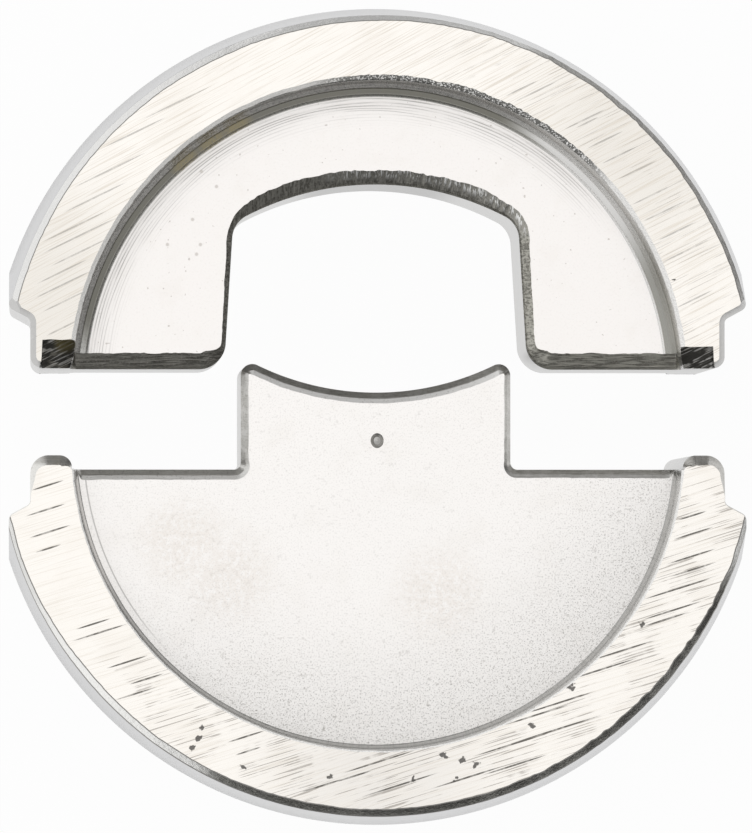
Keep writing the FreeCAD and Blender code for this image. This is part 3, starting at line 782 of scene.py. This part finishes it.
def makeUpper(u):
    p = die["upperParting"]
    u["recessY"] = p - u["recessOffset"]
    bowY = p + u["nestHeight"] - u["roofRadius"]
    shoulder = p + die["shoulderHeight"]
    corners = [(die["flatX"], die["cutReach"]),
               (die["flatX"], shoulder + die["shoulderRise"], die["tipRadius"]),
               (die["shoulderX"], shoulder, die["rootRadius"]), (die["shoulderX"], p, u["endCorner"]),
               (u["mouthX"], p, u["mouthCorner"]),
               (u["roofX"], bowY + math.sqrt(u["roofRadius"] ** 2 - u["roofX"] ** 2), u["roofCorner"])]
    right = sideOutline(corners, bowY, u["roofRadius"], 1, die["millStep"])
    top, web = die["rimTop"], die["webTop"]

    def shape(path, normal, run):
        # A chamfer of two facets at the web's height, as wide as its stretch of the outline has it,
        # and a fine one round the shoulders. Then the rim ends' bevels: there no point stays below
        # a plane that climbs with the height.
        x, y = path[:, 0], path[:, 1] - p
        onLeft, outwards = x < 0, np.abs(x)
        low, high = [np.where(onLeft, a, b) for a, b in zip(u["leftWallChamfer"], u["rightWallChamfer"])]
        wall = low + (high - low) * smooth(1.0, 7.0, y)
        width = wall + (u["legChamfer"] - wall) * (1 - smooth(0.15, 1.3, y))
        width = width + (u["roofChamfer"] - wall) * smooth(7.2, 8.7, y)
        width = width * (1 - smooth(15.55, 15.85, outwards))
        teeth = smooth(7.6, 8.6, y) * smooth(-4, 0, x)
        jag = 0.030 * wander(run, 0.7, 11) + (0.022 + 0.03 * teeth) * wander(run, 0.2, 12)
        rings = [ringAt(path, normal, 0 * width, die["coreTop"])]
        ragged = np.minimum(width, 0.5) / 0.5 * jag     # less where the chamfer is under 0.5 wide
        for share, drop in u["facets"]:
            height = web - u["chamferSlope"] * width * drop - die["underWeb"]
            rings.append(ringAt(path, normal, width * share + share ** 3 * ragged, height))
        edge = width + ragged
        rings.append(ringAt(path, normal, edge, die["wallTop"]))
        shoulders = smooth(16.8, 17.4, outwards) * (1 - smooth(3.3, 3.8, y))
        bevel = np.where(onLeft, u["leftBevel"], u["rightBevel"])
        onEnd = smooth(15.3, 15.6, outwards) * (1 - smooth(17.3, 17.5, outwards)) * (1 - smooth(1.9, 2.1, y))
        over, soft = 0.02, 0.03                         # past the face, and the bevel's rounding
        levels = [web + 0.9] + list(top - np.linspace(1.5, -over, 9)) + [top + 1.0]
        for height in levels:
            fine = np.clip(height - (top - u["endChamfer"]), 0, u["endChamfer"] + over)
            ring = ringAt(path, normal, edge + fine * shoulders, height)
            plane = height - (top - bevel) + 0.03 * wander(run, 0.5, 14) - (1 - onEnd) * 9
            ring[:, 1] = p + plane + soft * np.logaddexp(0, (ring[:, 1] - p - plane) / soft)
            rings.append(ring)
        end = np.where(onEnd > 0.5, 2, 0)
        chamfer = np.where(width > 0.02, 1, 0)
        bands = [0] + [chamfer] * 3 + [0, 0] + [end] * 10
        return np.stack(rings), bands

    centreY = upperY + u["recessY"]
    webSteel = turnedWeb("turnedWebSteel", centreY, u["recessRadius"])
    recessFinish = recessFinishes("upper", webSteel, u, centreY, 1.0)
    rimSteel = groundRim("upperRimSteel", upperGrinding, (0.80, 0.765, 0.71), [(-17.0, 6.0), (13.5, 14.5)])
    piece = turnBlank("upperHalfSteel", u["blank"], [seatSteel, upperBreakSteel, cornerShadeSteel, rimSteel])
    c = u["cornerCut"]
    first, last = np.array(c["from"]), np.array(c["to"])
    along = (last - first) / np.linalg.norm(last - first)
    outward = np.array([along[1], -along[0]])
    back, out = 1.5, 3.0                                # how far the wedge goes past the corner
    start = first - back * along
    edge = np.stack([start, start + out * outward, last + out * outward, last])
    wedge = np.stack([np.column_stack([edge + shift * outward, [height] * 4])
                      for height, shift in c["levels"]])
    carve(piece, [recessCutter("upperRecessFront", u, recessFinish, False),
                  recessCutter("upperRecessBack", u, recessFinish, True),
                  outlineCutter("upperOutline", right, 1, shape, [milledSteel, scrapedSteel, filedShadedSteel]),
                  stackRings("cornerWedge", wedge, [milledSteel], np.zeros(4, int))])
    settle(piece, upperY, "upper_die_half", "upper_half")


# The lower half

lowerHalf = {
    "recessRadius": 15.7, "recessOffset": 0.53, "lip": 0.12, "lipWaver": 0.03, "seed": 51,
    "wall": [(0.23, 0.01), (0.19, 0.05), (0.07, 0.40), (0.04, 0.44), (0.0, 0.7)],
    "wallShadeBands": [(-0.25, 0.02, -148, 2, 12, 0.85, (0.5, 0.5, 0.49))],
    "stained": [], "dirty": (-110, -109),
    "torn": lambda bearing: 0 * bearing + 0.5,
    "tongueX": 7.0, "tongueHeight": 3.3, "topRadius": 14.0, "tongueCorner": 0.6, "tongueRoot": 0.35,
    "sideChamfer": (0.40, 0.34), "ledgeChamfer": (0.53, 0.43),            # on the left, on the right
    "topChamfer": 0.57, "chamferSlope": 0.8,
    "facets": [(0.0, 1.0), (0.58, 0.30), (1.0, 0.0)],
    "ledgeDrop": 0.7, "hornX": 15.75, "hornInnerRadius": 0.65, "hornOuterRadius": 0.95,
    "hornChamfer": 0.5,
    "punchX": 0.06, "punchRadius": 0.39, "punchDepth": 0.16, "punchHeight": 0.8,
    "blank": {"faceLine": 0.06, "outerLine": 0.06, "outerFinish": 2, "waver": 0.06, "seed": 61,
              "narrow": lambda bearing: (0.23 * (1 - smooth(198, 222, bearing))
                                         + 0.2 * smooth(322, 342, bearing)),
              "torn": lambda bearing: smooth(285, 300, bearing) * (1 - smooth(335, 345, bearing))},
}


def makeLower(w):
    p = -die["lowerParting"]
    w["recessY"] = p + w["recessOffset"]
    bowY = p + w["tongueHeight"] + w["topRadius"]
    shoulder = p - die["shoulderHeight"]
    ledge = p - w["ledgeDrop"]
    corners = [(die["flatX"], -die["cutReach"]),
               (die["flatX"], shoulder - die["shoulderRise"], die["tipRadius"]),
               (die["shoulderX"], shoulder, die["rootRadius"]),
               (die["shoulderX"], p, w["hornOuterRadius"]),
               (w["hornX"], p, w["hornInnerRadius"]), (w["hornX"], ledge, 0),
               (w["tongueX"], ledge, w["tongueRoot"]),
               (w["tongueX"], bowY - math.sqrt(w["topRadius"] ** 2 - w["tongueX"] ** 2), w["tongueCorner"])]
    right = sideOutline(corners, bowY, w["topRadius"], -1, die["millStep"])
    top, web = die["rimTop"], die["webTop"]

    def shape(path, normal, run):
        # A chamfer of two facets along the tongue and the ledges at the web's height, and one
        # round the horns' heads, which thins out down the shoulders.
        x, y = np.abs(path[:, 0]), path[:, 1] - ledge
        facing = np.abs(normal[:, 1])                   # 1 where the outline runs across, 0 along
        level = smooth(0.3, 0.9, facing)
        onRight = smooth(-1, 1, path[:, 0])
        ledgeWidth, sideWidth = [onLeftSide + (onRightSide - onLeftSide) * onRight
                                 for onLeftSide, onRightSide in (w["ledgeChamfer"], w["sideChamfer"])]
        steep = 1 + 1.1 * onRight * smooth(0.1, 0.5, y) * (1 - level)
        width = ledgeWidth + (sideWidth - ledgeWidth) * smooth(0.05, 0.5, y)
        width = width + (w["topChamfer"] - width) * level * smooth(1.0, 2.0, y)
        width = width * (1 - smooth(15.2, 15.6, x))
        jag = 0.014 * wander(run, 0.9, 41) + 0.010 * wander(run, 0.25, 42)
        edge = width + jag * (width > 0.2)
        rings = [ringAt(path, normal, 0 * width, die["coreTop"])]
        for share, drop in w["facets"]:
            height = web - w["chamferSlope"] * width * drop * steep - die["underWeb"]
            rings.append(ringAt(path, normal, edge * share, height))
        rings.append(ringAt(path, normal, edge, die["wallTop"]))
        down = p - path[:, 1]
        head = smooth(15.3, 15.6, x) * (0.10 + 0.90 * (1 - smooth(0.9, 2.2, down)))
        head = head * (1 - smooth(3.1, 3.6, down))
        # The horn's chamfer is narrower on its outer side, and towards its foot on the inner side.
        taper = np.where(x > 16.8, 0.55 + 0.45 * facing, 0.12 + 0.88 * smooth(0.0, 0.42, y))
        rim = (w["hornChamfer"] + 2 * jag) * head * taper
        deep = 0.15 + 0.85 * head
        for height, share in [(web + 0.9, 0.0), (top - 0.5 * deep, 0.0), (top - 0.22 * deep, 0.62),
                              (top, 1.0), (top + 1.0, 1.0)]:
            rings.append(ringAt(path, normal, edge + rim * share, height))
        chamfer = np.where(width > 0.02, 1, 0)
        horn = np.where(head > 0.02, 1, 0)
        bands = [0] + [chamfer] * 2 + [0, 0, 0] + [horn] * 3
        return np.stack(rings), bands

    centreY = lowerY + w["recessY"]
    webSteel = blastedWeb("blastedWebSteel", centreY, w["recessRadius"])
    recessFinish = recessFinishes("lower", webSteel, w, centreY, 0.0)
    rimSteel = groundRim("lowerRimSteel", lowerGrinding, (0.82, 0.79, 0.75), [(0.0, -18.5)])
    piece = turnBlank("lowerHalfSteel", w["blank"], [seatSteel, lowerBreakSteel, cornerShadeSteel, rimSteel])
    radius, depth = w["punchRadius"], w["punchDepth"]
    dent = np.array([(0.03, web - depth * 0.75), (radius * 0.5, web - depth), (radius, web + 0.02),
                     (radius * 1.5, web + 0.3)])
    # The mark is a little oval: stretching it along y about the seat's axis is taken back.
    punchY, oval = p + w["punchHeight"], (0.92, 1.05, 1)
    punch = turned(punchY, dent, 48) * oval + (w["punchX"], (1 - oval[1]) * punchY, 0)
    carve(piece, [recessCutter("lowerRecessFront", w, recessFinish, False),
                  recessCutter("lowerRecessBack", w, recessFinish, True),
                  outlineCutter("lowerOutline", right, -1, shape, [milledSteel, planedSteel]),
                  stackRings("punchTip", punch, [punchSteel], np.zeros(5, int))])
    settle(piece, lowerY, "lower_die_half", "lower_half")


makeUpper(upperHalf)
makeLower(lowerHalf)
